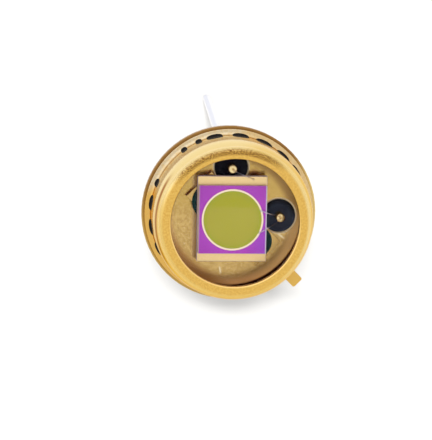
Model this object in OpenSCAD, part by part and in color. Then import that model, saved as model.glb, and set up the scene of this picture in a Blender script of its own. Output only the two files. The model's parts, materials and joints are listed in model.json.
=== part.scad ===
// Infrared photodiode in a gold-plated metal can with a wide clear window.
// Millimetres. The origin is the centre of the seating plane under the flange,
// +Z is the optical axis towards the window and +X points to the anode lead.

/* [Header] */
// Diameter of the header's weld flange
flange_d = 9.2; // [8.8:0.05:9.8]
// Thickness of the header's weld flange
flange_t = 0.4; // [0.3:0.02:0.5]
// Rounding of the weld flange's edges
flange_edge_r = 0.08; // [0.02:0.01:0.12]
// Height of the header floor above the seating plane
floor_h = 1.3; // [1.1:0.02:1.5]
// Gap between the raised floor and the cap's wall
floor_gap = 0.2; // [0.1:0.02:0.28]
// Bevel on the rim of the raised floor
floor_bevel = 0.06; // [0.02:0.01:0.1]
// Width of the index tab
tab_w = 0.65; // [0.5:0.05:0.9]
// Reach of the index tab beyond the flange
tab_l = 0.72; // [0.4:0.02:1]
// Rounding of the index tab's corners
tab_r = 0.1; // [0.02:0.01:0.2]
// Direction of the index tab, counted from the anode lead
tab_angle = -45; // [-50:1:-40]

/* [Leads] */
// Diameter of the circle on which the leads stand
pin_circle_d = 5.08; // [4.8:0.02:5.3]
// Diameter of the bare lead wire
lead_d = 0.45; // [0.4:0.01:0.5]
// Length of the leads below the seating plane
lead_l = 25.4; // [12.4:0.2:30]
// Height of the lead heads above the header floor
lead_rise = 0.85; // [0.6:0.05:1.1]
// Bevel on the ends of the leads
lead_bevel = 0.04; // [0.02:0.01:0.06]
// Bare stretch between the seating plane and the solder coat
bare_l = 1.5; // [1:0.1:3]
// Thickness of the solder coat on the rest of each lead
tin_t = 0.015; // [0.005:0.005:0.03]
// Length over which the solder coat thins out
tin_fade_l = 0.6; // [0.5:0.05:1]
// Lean of the cathode lead, in degrees
cathode_lean = 3; // [0.5:0.5:5]
// Direction in which the cathode lead leans, counted from the anode lead
lean_turn = 40; // [0:5:90]
// Depth below the seating plane at which the cathode lead starts to lean
lean_start = 0.6; // [0.4:0.05:0.7]
// Radius of the bend in the cathode lead
lean_bend_r = 3; // [1:0.5:3.5]
// Diameter of the weld flash that holds the case lead
weld_d = 0.8; // [0.6:0.05:1]
// Height of the weld flash, and depth of its pocket
weld_h = 0.2; // [0.1:0.05:0.3]
// Gap round the weld flash in its pocket
weld_gap = 0.1; // [0.05:0.01:0.15]

/* [Glass beads] */
// Diameter of the glass beads and of their holes
bead_d = 1.75; // [1.4:0.05:1.8]
// Depth of the dish in the glass, above and below
bead_dish = 0.05; // [0.02:0.01:0.1]
// Bevel round each bead hole in the floor
bead_bevel = 0.05; // [0.02:0.01:0.08]

/* [Cap] */
// Height of the cap's front above the seating plane
cap_h = 4; // [3.7:0.05:4.6]
// Thickness of the cap's sheet
wall_t = 0.25; // [0.18:0.01:0.32]
// Thickness of the cap's weld flange
brim_t = 0.25; // [0.18:0.01:0.32]
// Step from the header's flange in to the cap's weld flange
brim_step = 0.15; // [0.05:0.01:0.25]
// Width of the cap's weld flange outside the wall
brim_w = 0.3; // [0.22:0.01:0.4]
// Fillet between the cap's weld flange and its wall
brim_fillet_r = 0.2; // [0.05:0.01:0.22]
// Height of the rounded shoulder
shoulder_h = 1.4; // [1:0.05:1.8]
// Width of the rounded shoulder, seen from the front
shoulder_w = 0.5; // [0.4:0.01:0.6]
// Width of the flat front ring round the aperture
front_ring_w = 0.35; // [0.25:0.01:0.45]
// Rounding of the aperture's lip
lip_r = 0.08; // [0.02:0.01:0.12]

/* [Window] */
// Thickness of the window glass
window_t = 0.5; // [0.3:0.02:0.6]
// Bevel on the window's edges
window_bevel = 0.05; // [0.02:0.01:0.1]
// Gap between the window's edge and the corner inside the cap
window_gap = 0.05; // [0.02:0.01:0.1]
// Thickness of the solder-glass ring between window and cap
seal_t = 0.08; // [0.04:0.01:0.12]
// Setback of the solder-glass ring from the aperture
seal_setback = 0.06; // [0.02:0.01:0.1]

/* [Chip carrier] */
// Length of the pedestal, in line with the index tab
pedestal_l = 5.2; // [4.6:0.1:5.6]
// Shift of the pedestal towards the index tab
pedestal_shift = 0.2; // [0:0.05:0.3]
// Width of the pedestal
pedestal_w = 1.8; // [1.4:0.05:1.86]
// Height of the pedestal
pedestal_h = 0.4; // [0.3:0.01:0.5]
// Thickness of the adhesive under the submount
epoxy_t = 0.05; // [0.02:0.01:0.1]
// Radius of the adhesive's round end beside the index tab
tab_lobe_r = 0.86; // [0.6:0.02:0.88]
// Distance of the tab end's centre from the can's axis
tab_lobe_out = 1.84; // [1.5:0.02:1.9]
// Radius of the adhesive's wider end on the far side
far_lobe_r = 1; // [0.8:0.02:1.1]
// Distance of the far end's centre from the can's axis
far_lobe_out = 1.3; // [1:0.02:1.5]
// Offset of the far end's centre from the pedestal's middle line, by which it runs over the edge
far_lobe_aside = 0.2; // [0:0.02:0.3]
// Width of the submount
submount_w = 3.62; // [3.5:0.02:4]
// Length of the submount, taller than the die
submount_l = 4.46; // [4:0.02:4.8]
// Thickness of the submount
submount_t = 0.4; // [0.3:0.01:0.5]
// Gap between the submount's upper edge and the cathode lead
submount_gap = 0.14; // [0.05:0.01:0.3]
// Margin between the gold film and the submount's edges
pad_margin = 0.02; // [0.01:0.005:0.03]
// Thickness of the gold film on the submount
pad_t = 0.01; // [0.005:0.005:0.03]

/* [Die] */
// Margin between the die and the submount's long edges
die_margin = 0.035; // [0.02:0.005:0.1]
// Thickness of the die
die_t = 0.3; // [0.2:0.01:0.35]
// Thickness of the solder under the die
solder_t = 0.02; // [0.01:0.005:0.04]
// Setback of the solder from the die's edges
solder_setback = 0.04; // [0.02:0.01:0.1]
// Diameter of the light-sensitive area inside the ring contact
active_d = 3.03; // [2.6:0.01:3.1]
// Depth of the light-sensitive area in the die's face
active_t = 0.03; // [0.025:0.005:0.05]
// Width of the ring contact
ring_w = 0.09; // [0.06:0.01:0.14]
// Lap of the ring contact over the light-sensitive area
ring_lap = 0.04; // [0.01:0.01:0.05]
// Thickness of the ring contact
ring_t = 0.03; // [0.025:0.005:0.04]

/* [Bond wires] */
// Diameter of the bond wires
wire_d = 0.04; // [0.03:0.005:0.06]
// Diameter of the bonds at the wires' ends
bond_d = 0.12; // [0.09:0.01:0.15]
// Height of the bonds at the wires' ends
bond_h = 0.06; // [0.05:0.005:0.08]
// Rise of each wire's loop above the straight line
loop_rise = 0.22; // [0.1:0.01:0.3]
// Place of the upper anode bond on the ring, in degrees
upper_bond_angle = 18; // [10:1:40]
// Place of the lower anode bond on the ring, in degrees
lower_bond_angle = -25; // [-40:1:-10]
// Distance of the bonds from the middle of a lead's head
head_bond_r = 0.09; // [0.08:0.005:0.1]
// Place of the cathode bond, to the right of the submount's middle
bar_bond_x = 1.08; // [0.6:0.02:1.6]
// Distance of the cathode bond from the submount's upper edge
bar_bond_inset = 0.15; // [0.12:0.01:0.25]

/* [Hidden] */
$fn = 96;

// Directions of the leads round the optical axis
anode_angle = 0;
cathode_angle = 90;
case_angle = 270;
// Directions, on a lead's head, in which the bonds lie
upper_head_angle = 115;
lower_head_angle = 245;
cathode_head_angle = 310;
// Straight pieces in a drawn arc
arc_steps = 20;

// Radii, worked in from the flange to the aperture
flange_r = flange_d / 2;
brim_r = flange_r - brim_step;
cap_r = brim_r - brim_w;
cap_inner_r = cap_r - wall_t;
front_r = cap_r - shoulder_w;
aperture_r = front_r - front_ring_w;
window_r = front_r - window_gap;
floor_r = cap_inner_r - floor_gap;
lead_r = lead_d / 2;
tin_r = lead_r + tin_t;
bead_r = bead_d / 2;
pin_r = pin_circle_d / 2;
active_r = active_d / 2;
ring_r = active_r + ring_w;
junction_r = active_r + ring_lap;

// Heights, worked up from the seating plane
brim_z = flange_t + brim_t;
shoulder_z = cap_h - shoulder_h;
ceiling_z = cap_h - wall_t;
window_top_z = ceiling_z - seal_t;
epoxy_z = floor_h + pedestal_h;
submount_z = epoxy_z + epoxy_t;
pad_z = submount_z + submount_t;
solder_z = pad_z + pad_t;
die_z = solder_z + solder_t;
die_top_z = die_z + die_t;
junction_z = die_top_z - active_t;
head_z = floor_h + lead_rise;

// Places on the chip carrier
submount_top_y = pin_r - lead_r - submount_gap;
carrier_y = submount_top_y - submount_l / 2;
die_w = submount_w - 2 * die_margin;

// Bonded points
anode_head = [pin_r, 0, head_z];
cathode_head = [0, pin_r, head_z];
upper_ring_bond = ring_bond(upper_bond_angle);
lower_ring_bond = ring_bond(lower_bond_angle);
bar_bond = [bar_bond_x, submount_top_y - bar_bond_inset, solder_z];

// Point at an angle on a circle in the plane
function around(r, a) = [r * cos(a), r * sin(a)];

// Points of an elliptical arc about a centre, from one angle to another
function arc(centre, rx, ry, from, to) = [
  for (i = [0:arc_steps])
    let (a = from + (to - from) * i / arc_steps)
      centre + [rx * cos(a), ry * sin(a)]
];

// Point on the middle of the ring contact, at an angle
function ring_bond(a) =
  let (p = around(active_r + ring_w / 2, a)) [p[0], carrier_y + p[1], die_top_z + ring_t];

// Point on a lead's head, at an angle
function head_bond(head, a) =
  let (p = around(head_bond_r, a)) head + [p[0], p[1], 0];

// Moves its children to a lead's place on the pin circle
module at_lead(angle) {
  place = around(pin_r, angle);
  translate([place[0], place[1], 0]) children();
}

// Upright plate about the middle of the chip carrier
module carrier_plate(w, l, z, t) {
  translate([-w / 2, carrier_y - l / 2, z]) cube([w, l, t]);
}

// Gold-plated base: flange, raised floor, index tab, bead holes and weld pocket
module header() {
  edge_x = flange_r - flange_edge_r;
  color("goldenrod") difference() {
    union() {
      rotate_extrude() polygon(concat(
        [[0, 0]],
        arc([edge_x, flange_edge_r], flange_edge_r, flange_edge_r, -90, 0),
        arc([edge_x, flange_t - flange_edge_r], flange_edge_r, flange_edge_r, 0, 90),
        [[floor_r, flange_t], [floor_r, floor_h - floor_bevel]],
        [[floor_r - floor_bevel, floor_h], [0, floor_h]]
      ));
      rotate([0, 0, tab_angle]) index_tab();
    }
    for (a = [anode_angle, cathode_angle])
      at_lead(a) bead_hole();
    at_lead(case_angle) weld_pocket();
  }
}

// Tab that marks the anode, rooted under the cap's weld flange
module index_tab() {
  end = flange_r + tab_l;
  linear_extrude(flange_t) {
    translate([cap_r, -tab_w / 2]) square([end - tab_r - cap_r, tab_w]);
    translate([cap_r, tab_r - tab_w / 2]) square([end - cap_r, tab_w - 2 * tab_r]);
    for (side = [-1, 1])
      translate([end - tab_r, side * (tab_w / 2 - tab_r)]) circle(tab_r);
  }
}

// Hole for a glass bead, bevelled at the floor
module bead_hole() {
  over = bead_d;
  translate([0, 0, -over]) cylinder(r = bead_r, h = floor_h + 2 * over);
  translate([0, 0, floor_h - bead_bevel]) cylinder(r1 = bead_r, r2 = bead_r + bead_bevel, h = bead_bevel);
}

// Pocket that keeps the case lead's weld flash clear of the seating plane
module weld_pocket() {
  translate([0, 0, -weld_h]) cylinder(r = weld_d / 2 + weld_gap, h = 2 * weld_h);
}

// Glass round a lead, dished above and below
module bead() {
  span = bead_r - lead_r;
  edge_z = floor_h - bead_bevel;
  color("darkslategray") rotate_extrude() polygon([
    for (i = [0:arc_steps])
      let (t = i / arc_steps)
        [lead_r + span * t, 4 * bead_dish * t * (1 - t)],
    for (i = [0:arc_steps])
      let (t = 1 - i / arc_steps)
        [lead_r + span * t, edge_z - 4 * bead_dish * t * (1 - t)]
  ]);
}

module bead_anode() at_lead(anode_angle) bead();
module bead_cathode() at_lead(cathode_angle) bead();

// Bare lead from its bevelled head down to a given height
module lead_top(bottom_z) {
  rotate_extrude() polygon([
    [0, bottom_z], [lead_r, bottom_z], [lead_r, head_z - lead_bevel],
    [lead_r - lead_bevel, head_z], [0, head_z]
  ]);
}

// Solder-dipped end of a lead, hanging from its own origin
module lead_tail(bare, total) {
  rotate_extrude() polygon([
    [0, 0], [0, -total], [tin_r - lead_bevel, -total], [tin_r, lead_bevel - total],
    [tin_r, -bare - tin_fade_l], [lead_r, -bare], [lead_r, 0]
  ]);
}

// Straight insulated lead on the right
module lead_anode() {
  color("lightgray") at_lead(anode_angle) {
    lead_top(0);
    lead_tail(bare_l, lead_l);
  }
}

// Insulated lead at the top, which leans a little below the header
module lead_cathode() {
  bend_l = lean_bend_r * cathode_lean * PI / 180;
  used = lean_start + bend_l;
  bend_x = lean_bend_r * (1 - cos(cathode_lean));
  bend_z = lean_start + lean_bend_r * sin(cathode_lean);
  color("lightgray") at_lead(cathode_angle) rotate([0, 0, lean_turn]) {
    lead_top(-lean_start);
    translate([lean_bend_r, 0, -lean_start]) rotate([-90, 0, 180])
      rotate_extrude(angle = cathode_lean) translate([lean_bend_r, 0]) circle(lead_r);
    translate([bend_x, 0, -bend_z]) rotate([0, -cathode_lean, 0])
      lead_tail(bare_l - used, lead_l - used);
  }
}

// Case lead, butt-welded into its pocket under the header
module lead_case() {
  color("lightgray") at_lead(case_angle) {
    translate([0, 0, weld_h]) lead_tail(bare_l + weld_h, lead_l + weld_h);
    cylinder(r1 = lead_r, r2 = weld_d / 2, h = weld_h);
  }
}

// Drawn cap: weld flange, wall, rounded shoulder and front ring
module cap() {
  shoulder_in = cap_inner_r - front_r;
  color("gold") rotate_extrude() polygon(concat(
    [[cap_inner_r, flange_t], [brim_r, flange_t], [brim_r, brim_z]],
    arc([cap_r + brim_fillet_r, brim_z + brim_fillet_r], brim_fillet_r, brim_fillet_r, 270, 180),
    arc([front_r, shoulder_z], shoulder_w, shoulder_h, 0, 90),
    arc([aperture_r + lip_r, cap_h - lip_r], lip_r, lip_r, 90, 180),
    [[aperture_r, ceiling_z]],
    arc([front_r, shoulder_z], shoulder_in, ceiling_z - shoulder_z, 90, 0)
  ));
}

// Solder-glass ring between the window and the front ring
module window_seal() {
  inner_r = aperture_r + seal_setback;
  color("dimgray") rotate_extrude() polygon([
    [inner_r, window_top_z], [window_r - window_bevel, window_top_z],
    [window_r - window_bevel, ceiling_z], [inner_r, ceiling_z]
  ]);
}

// Clear glass disc behind the aperture
module window() {
  low = window_top_z - window_t;
  edge = window_r - window_bevel;
  color([0.85, 0.93, 0.95, 0.3]) rotate_extrude() polygon([
    [0, low], [edge, low], [window_r, low + window_bevel],
    [window_r, window_top_z - window_bevel], [edge, window_top_z], [0, window_top_z]
  ]);
}

// Gold block on the floor, in line with the index tab
module pedestal() {
  color("goldenrod") rotate([0, 0, tab_angle])
    translate([pedestal_shift - pedestal_l / 2, -pedestal_w / 2, floor_h])
      cube([pedestal_l, pedestal_w, pedestal_h]);
}

// Adhesive on the pedestal, with two round ends that show beside the submount
module submount_epoxy() {
  near = [tab_lobe_out, 0];
  far = [-far_lobe_out, -far_lobe_aside];
  span = near - far;
  heading = atan2(span[1], span[0]);
  flank = acos((far_lobe_r - tab_lobe_r) / norm(span));
  color("teal") rotate([0, 0, tab_angle]) translate([0, 0, epoxy_z]) linear_extrude(epoxy_t) {
    translate(near) circle(tab_lobe_r);
    translate(far) circle(far_lobe_r);
    polygon([
      near + around(tab_lobe_r, heading - flank), near + around(tab_lobe_r, heading + flank),
      far + around(far_lobe_r, heading + flank), far + around(far_lobe_r, heading - flank)
    ]);
  }
}

// Ceramic plate that carries the die
module submount() {
  color("lavender") carrier_plate(submount_w, submount_l, submount_z, submount_t);
}

// Gold film on the submount, seen as a bar above and below the die
module submount_pad() {
  color("khaki") carrier_plate(submount_w - 2 * pad_margin, submount_l - 2 * pad_margin, pad_z, pad_t);
}

// Solder under the die
module die_solder() {
  w = die_w - 2 * solder_setback;
  color("silver") carrier_plate(w, w, solder_z, solder_t);
}

// Square photodiode chip, recessed for its light-sensitive area
module die() {
  color("mediumorchid") difference() {
    carrier_plate(die_w, die_w, die_z, die_t);
    translate([0, carrier_y, junction_z]) cylinder(r = junction_r, h = 2 * active_t);
  }
}

// Round light-sensitive area, flush with the die's face
module active_area() {
  color("olive") translate([0, carrier_y, junction_z]) cylinder(r = junction_r, h = active_t);
}

// Ring contact round the light-sensitive area
module contact_ring() {
  color("palegoldenrod") translate([0, carrier_y, die_top_z]) difference() {
    cylinder(r = ring_r, h = ring_t);
    translate([0, 0, -ring_t]) cylinder(r = active_r, h = 3 * ring_t);
  }
}

// Looped wire between two bonded faces, with a flat bond at each end
module bond_wire(from, to) {
  lift = [0, 0, bond_h / 2];
  span = to - from;
  chord = norm(span);
  loop_r = (chord * chord / 4 + loop_rise * loop_rise) / (2 * loop_rise);
  half_turn = 2 * atan(2 * loop_rise / chord);
  heading = atan2(span[1], span[0]);
  slope = atan2(span[2], norm([span[0], span[1]]));
  color("whitesmoke") {
    for (foot = [from, to])
      translate(foot) cylinder(d = bond_d, h = bond_h);
    translate((from + to) / 2 + lift) rotate([0, -slope, heading]) translate([0, 0, loop_rise - loop_r])
      rotate([90, 0, 0]) rotate([0, 0, 90 - half_turn])
        rotate_extrude(angle = 2 * half_turn) translate([loop_r, 0]) circle(d = wire_d);
  }
}

module wire_anode_upper() bond_wire(upper_ring_bond, head_bond(anode_head, upper_head_angle));
module wire_anode_lower() bond_wire(lower_ring_bond, head_bond(anode_head, lower_head_angle));
module wire_cathode() bond_wire(bar_bond, head_bond(cathode_head, cathode_head_angle));

header();
bead_anode();
bead_cathode();
lead_anode();
lead_cathode();
lead_case();
cap();
window_seal();
window();
pedestal();
submount_epoxy();
submount();
submount_pad();
die_solder();
die();
active_area();
contact_ring();
wire_anode_upper();
wire_anode_lower();
wire_cathode();
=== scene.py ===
# Looks of the infrared photodiode: smooth pieces, materials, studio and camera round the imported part
import json
import math

import bmesh
import bpy
from mathutils import Matrix, Vector


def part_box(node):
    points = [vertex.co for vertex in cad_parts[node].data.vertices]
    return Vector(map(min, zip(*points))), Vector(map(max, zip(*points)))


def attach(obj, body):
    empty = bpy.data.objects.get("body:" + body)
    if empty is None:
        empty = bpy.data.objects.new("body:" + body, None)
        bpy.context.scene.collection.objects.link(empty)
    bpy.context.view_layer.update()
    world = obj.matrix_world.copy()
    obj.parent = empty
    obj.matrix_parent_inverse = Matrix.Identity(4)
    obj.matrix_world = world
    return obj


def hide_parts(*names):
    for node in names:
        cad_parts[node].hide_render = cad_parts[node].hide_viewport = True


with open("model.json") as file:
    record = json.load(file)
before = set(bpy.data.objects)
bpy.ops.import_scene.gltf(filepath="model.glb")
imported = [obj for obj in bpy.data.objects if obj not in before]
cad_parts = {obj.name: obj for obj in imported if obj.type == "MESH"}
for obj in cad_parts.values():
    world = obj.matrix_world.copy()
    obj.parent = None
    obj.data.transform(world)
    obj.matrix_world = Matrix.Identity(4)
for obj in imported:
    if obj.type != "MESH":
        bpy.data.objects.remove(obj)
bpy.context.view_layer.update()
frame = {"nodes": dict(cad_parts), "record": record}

MM = 0.001
NODES = frame["nodes"]
MOUNTS = {mount["name"]: mount for mount in frame["record"]["mounts"]}

# Sizes in millimetres, and the block's turn, that the frame's boxes and mounts do not give
EDGE_R = 0.03
BRIM_T = 0.25
BRIM_FILLET_R = 0.2
WALL_T = 0.25
SHOULDER_W = 0.5
FRONT_RING_W = 0.35
LIP_R = 0.08
BEAD_DISH = 0.05
LEAD_BEVEL = 0.03
TIN_T = 0.015
BARE_L = 1.5
TIN_FADE_L = 0.6
LEAN_START = 0.6
LEAN_BEND_R = 3
RING_W = 0.09
BLOCK_W = 1.8
BLOCK_TURN = math.radians(45)
PLATE_EDGE_R = 0.02
WIRE_R = 0.02
BOND_R = 0.06
BOND_H = 0.06
LOOP_RISE = 0.22
HEAD_BOND_R = 0.09
BAR_BOND_X = 1.08
BAR_BOND_INSET = 0.15
FLOOR_GAP = 0.02
MERGE_GAP = 1e-5

# Places of the bonds, in degrees round the ring contact and round the lead heads
UPPER_RING_ANGLE = 18
LOWER_RING_ANGLE = -25
UPPER_HEAD_ANGLE = 115
LOWER_HEAD_ANGLE = 245
CATHODE_HEAD_ANGLE = 310

# Outline of a pressed bond: shares of its height, each with the share of its radius there
BOND_OUTLINE = [(0, 0.9), (0.35, 1), (0.8, 0.8), (1, 0.4)]

# Facets: sides of round pieces, steps along arcs, and the angles in degrees from which an edge is sharp
CAN_SIDES = 192
BEAD_SIDES = 96
LEAD_SIDES = 32
BOND_SIDES = 20
WIRE_SIDES = 12
ARC_STEPS = 24
SHOULDER_STEPS = 48
FILLET_STEPS = 10
LIP_STEPS = 8
EDGE_STEPS = 6
BEND_STEPS = 6
PLATE_EDGE_STEPS = 3
SHARP_ANGLE = 40
BOND_SHARP_ANGLE = 60

# Light: the tent's level, its bright side, and the lamp that lights the floor alone; lengths in metres
KEY_SIDE = (-0.5, 0.84, 0.2)
KEY_RANGE = (0.3, 0.95)
KEY_LEVEL = 1.4
TENT_LEVEL = 1.02
WHITE = (1, 1, 1, 1)
SHADOW_SIDE = Vector((-0.102, 0.219, 1))
LAMP_DISTANCE = 3
LAMP_SIZE = (0.26, 0.09)
LAMP_POWER = 82
FLOOR_REACH = 0.6

# Photograph: pixels, viewing direction, framing in millimetres, and the camera's range in metres
IMAGE_H = 440
FOCAL_PX = 2281
SENSOR = 36
VIEW_TILT = math.radians(10.4)
VIEW_TURN = math.radians(120.6)
VIEW_ROLL = math.radians(1.1)
VIEW_DISTANCE = 120
AIM_HEIGHT = 0.4
AIM_RIGHT = -0.67
AIM_UP = -0.388
CLIP_START = 0.01
CLIP_END = 10


def box_mm(node):
    low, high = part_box(node)
    return low / MM, high / MM


# Measures taken from the frame
cap_low, cap_high = box_mm("cap")
brim_r = cap_high.x
cap_h = cap_high.z
flange_t = cap_low.z
brim_z = flange_t + BRIM_T
cap_r = MOUNTS["cap_wall"]["dims"]["r_mm"]
shoulder_z = MOUNTS["cap_wall"]["pos_m"][2] / MM + MOUNTS["cap_wall"]["dims"]["length_mm"] / 2
cap_inner_r = cap_r - WALL_T
front_r = cap_r - SHOULDER_W
aperture_r = front_r - FRONT_RING_W
ceiling_z = cap_h - WALL_T
header_low, header_high = box_mm("header")
floor_z = header_high.z
flange_r = -header_low.x
block_low, block_high = box_mm("pedestal")
lead_low, lead_high = box_mm("lead_anode")
head_z = lead_high.z
lead_end_z = lead_low.z
pin_r = (lead_low.x + lead_high.x) / 2
lead_r = (lead_high.x - lead_low.x) / 2 - TIN_T
bead_low, bead_high = box_mm("bead_anode")
bead_r = (bead_high.x - bead_low.x) / 2
ring_low, ring_high = box_mm("contact_ring")
ring_mid_r = ring_high.x - RING_W / 2
carrier_y = (ring_low.y + ring_high.y) / 2
die_edge_x = box_mm("die")[1].x
pad_z = box_mm("submount_pad")[1].z
plate_low, plate_high = box_mm("submount")
bar_bond = Vector((BAR_BOND_X, plate_high.y - BAR_BOND_INSET, pad_z))
anode_head = Vector((pin_r, 0, head_z))
cathode_head = Vector((0, pin_r, head_z))
ring_centre = Vector((0, carrier_y, ring_high.z))

# Sockets of the Mix node that carry colours
MIX_FIRST = 6
MIX_SECOND = 7
MIX_RESULT = 2

# Curve from display colours to linear ones
DISPLAY_MAX = 255
CURVE_KNEE = 0.04045
CURVE_SLOPE = 12.92
CURVE_OFFSET = 0.055
CURVE_POWER = 2.4


def tone(red, green, blue):
    """Display colour from 0 to 255 as the linear colour that a shader takes."""
    def linear(value):
        value = value / DISPLAY_MAX
        if value <= CURVE_KNEE:
            return value / CURVE_SLOPE
        return ((value + CURVE_OFFSET) / (1 + CURVE_OFFSET)) ** CURVE_POWER
    return (linear(red), linear(green), linear(blue), 1.0)


class Surface:
    """A material with one Principled shader, and the few nodes that paint it.

    In the values of the materials, a noise is its scale per millimetre, its detail and its stretch. A range
    is where a share starts and where it is full: levels of noise, parts of a facing or of a glint, or
    millimetres, which may count from a base. A pair of tones, shares or levels runs from share 0 to share 1.
    """

    def __init__(self, name, **constants):
        self.material = bpy.data.materials.new(name)
        self.material.use_nodes = True
        self.tree = self.material.node_tree
        self.shader = self.tree.nodes["Principled BSDF"]
        for socket, value in constants.items():
            self.shader.inputs[socket.replace("_", " ")].default_value = value
        place = self.add("ShaderNodeTexCoord").outputs["Object"]
        scaled = self.add("ShaderNodeVectorMath", {0: place, "Scale": 1 / MM}, operation="SCALE")
        self.point = scaled.outputs["Vector"]
        split = self.add("ShaderNodeSeparateXYZ", {0: self.point})
        self.x, self.y, self.z = split.outputs
        self.radius = self.away(0, 0)

    def add(self, kind, inputs=None, **settings):
        """Adds a node with its settings, and with inputs that are values or sockets of other nodes."""
        node = self.tree.nodes.new(kind)
        for key, value in settings.items():
            setattr(node, key, value)
        for key, value in (inputs or {}).items():
            if isinstance(value, bpy.types.NodeSocket):
                self.tree.links.new(value, node.inputs[key])
            else:
                node.inputs[key].default_value = value
        return node

    def vector(self, operation, *inputs, result="Vector"):
        """Vector arithmetic; the result is Value for a length or a dot product."""
        node = self.add("ShaderNodeVectorMath", dict(enumerate(inputs)), operation=operation)
        return node.outputs[result]

    def math(self, operation, *inputs):
        """Arithmetic on numbers."""
        return self.add("ShaderNodeMath", dict(enumerate(inputs)), operation=operation).outputs["Value"]

    def both(self, first, second):
        """Product of two shares, or of a share and its weight."""
        return self.math("MULTIPLY", first, second)

    def either(self, first, second):
        """Larger one of two shares."""
        return self.math("MAXIMUM", first, second)

    def noise(self, scale, detail, stretch=(1, 1, 1)):
        """Noise with features of about 1/scale millimetres, longer where stretch is small."""
        moved = self.vector("MULTIPLY", self.point, stretch)
        values = {"Vector": moved, "Scale": scale, "Detail": detail}
        return self.add("ShaderNodeTexNoise", values).outputs["Fac"]

    def band(self, value, low, high, base=0):
        """0 up to base + low, 1 from base + high, smooth between; low may be the larger one."""
        values = {"Value": value, "From Min": base + low, "From Max": base + high}
        return self.add("ShaderNodeMapRange", values, interpolation_type="SMOOTHSTEP").outputs["Result"]

    def spread(self, value, low, high):
        """Carries 0 to 1 over to low to high."""
        values = {"Value": value, "To Min": low, "To Max": high}
        return self.add("ShaderNodeMapRange", values).outputs["Result"]

    def mix(self, share, first, second):
        """Blend of two colours: the first at share 0, the second at share 1."""
        values = {"Factor": share, MIX_FIRST: first, MIX_SECOND: second}
        return self.add("ShaderNodeMix", values, data_type="RGBA").outputs[MIX_RESULT]

    def away(self, x, y):
        """Distance in plan from a point."""
        aside = self.vector("SUBTRACT", self.point, (x, y, 0))
        return self.vector("LENGTH", self.vector("MULTIPLY", aside, (1, 1, 0)), result="Value")

    def from_pins(self):
        """Distance in plan from the axis of the nearer insulated lead."""
        return self.math("MINIMUM", self.away(pin_r, 0), self.away(0, pin_r))

    def gap(self, value, middle):
        """How far a value is from a middle one."""
        return self.math("ABSOLUTE", self.math("SUBTRACT", value, middle))

    def toward(self, side):
        """Distance from the origin along a direction."""
        return self.vector("DOT_PRODUCT", self.point, side, result="Value")

    def turned(self, centre, angle):
        """Point turned about an upright axis through a centre."""
        values = {"Vector": self.point, "Center": centre, "Angle": angle}
        return self.add("ShaderNodeVectorRotate", values, rotation_type="Z_AXIS").outputs["Vector"]

    def paint(self, socket, output):
        """Links an output to a socket of the Principled shader."""
        self.tree.links.new(output, self.shader.inputs[socket])

    def bump(self, height, depth):
        """Bump of a depth in millimetres."""
        values = {"Height": height, "Distance": depth * MM, "Strength": 1.0}
        self.paint("Normal", self.add("ShaderNodeBump", values).outputs["Normal"])


def two_tone(name, noise, tones, depth, rough_range=None, **constants):
    """Material that wanders between two tones, with bumps that follow the same noise."""
    surface = Surface(name, **constants)
    cloud = surface.noise(*noise)
    surface.paint("Base Color", surface.mix(cloud, *tones))
    if rough_range:
        surface.paint("Roughness", surface.spread(cloud, *rough_range))
    surface.bump(cloud, depth)
    return surface


def dress(node, surface):
    """Gives a CAD node a better material."""
    NODES[node].data.materials.clear()
    NODES[node].data.materials.append(surface.material)


def arc(centre, rx, ry, start, end, steps=ARC_STEPS):
    """Points of an elliptical arc between two angles in degrees."""
    points = []
    for step in range(steps + 1):
        angle = math.radians(start + (end - start) * step / steps)
        points.append((centre[0] + rx * math.cos(angle), centre[1] + ry * math.sin(angle)))
    return points


def hump(share):
    """Parabola that rises from 0 at share 0 to 1 halfway and falls to 0 at share 1."""
    return 4 * share * (1 - share)


def at_angle(centre, radius, degrees):
    """Point level with a centre, at a distance and an angle from it."""
    angle = math.radians(degrees)
    return centre + Vector((radius * math.cos(angle), radius * math.sin(angle), 0))


def finish_mesh(name, build, material, sharp=SHARP_ANGLE, place=(0, 0, 0)):
    """Turns a bmesh in millimetres into a smooth piece that rides on the part."""
    bmesh.ops.remove_doubles(build, verts=build.verts, dist=MERGE_GAP)
    bmesh.ops.recalc_face_normals(build, faces=build.faces)
    for face in build.faces:
        face.smooth = True
    for edge in build.edges:
        edge.smooth = edge.calc_face_angle(0) < math.radians(sharp)
    bmesh.ops.scale(build, verts=build.verts, vec=(MM, MM, MM))
    mesh = bpy.data.meshes.new(name)
    build.to_mesh(mesh)
    build.free()
    mesh.materials.append(material)
    piece = bpy.data.objects.new(name, mesh)
    piece.location = Vector(place) * MM
    bpy.context.scene.collection.objects.link(piece)
    weighted = piece.modifiers.new("even_normals", "WEIGHTED_NORMAL")
    weighted.keep_sharp = True
    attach(piece, "root")
    return piece


def lathe(profile, sides):
    """Closed profile of (radius, height) points turned about the Z axis."""
    build = bmesh.new()
    rings = []
    for turn in range(sides):
        angle = 2 * math.pi * turn / sides
        rings.append([build.verts.new((r * math.cos(angle), r * math.sin(angle), z)) for r, z in profile])
    count = len(profile)
    for turn, ring in enumerate(rings):
        after = rings[(turn + 1) % sides]
        for i in range(count):
            j = (i + 1) % count
            build.faces.new((ring[i], after[i], after[j], ring[j]))
    return build


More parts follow.
